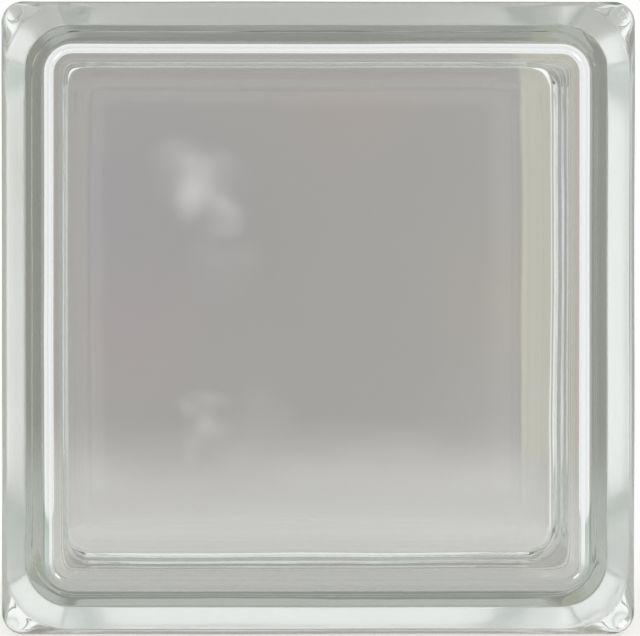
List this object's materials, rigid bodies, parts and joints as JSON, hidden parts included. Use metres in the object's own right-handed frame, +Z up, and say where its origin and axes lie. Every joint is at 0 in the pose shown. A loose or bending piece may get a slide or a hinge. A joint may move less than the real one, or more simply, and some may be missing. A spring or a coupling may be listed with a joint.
{
  "type": "hollow glass block",
  "caption": "Clear square hollow glass block with smooth flat faces, rounded rims and recessed mortar edges, for laying in light-giving walls and partitions.",
  "frame": {"origin": "middle of the bottom edge, on the floor that the block stands on", "axes": "+Z up the face, +X across the face, +Y from the front face to the back face"},
  "size_m": [0.19, 0.08, 0.19],
  "materials": {
    "clear_glass": "clear pressed soda-lime glass with a faint green tint, slightly wavy fire-polished faces and slightly dull channel flanks"
  },
  "bodies": {
    "root": {"glass_block": "clear_glass"}
  },
  "joints": []
}
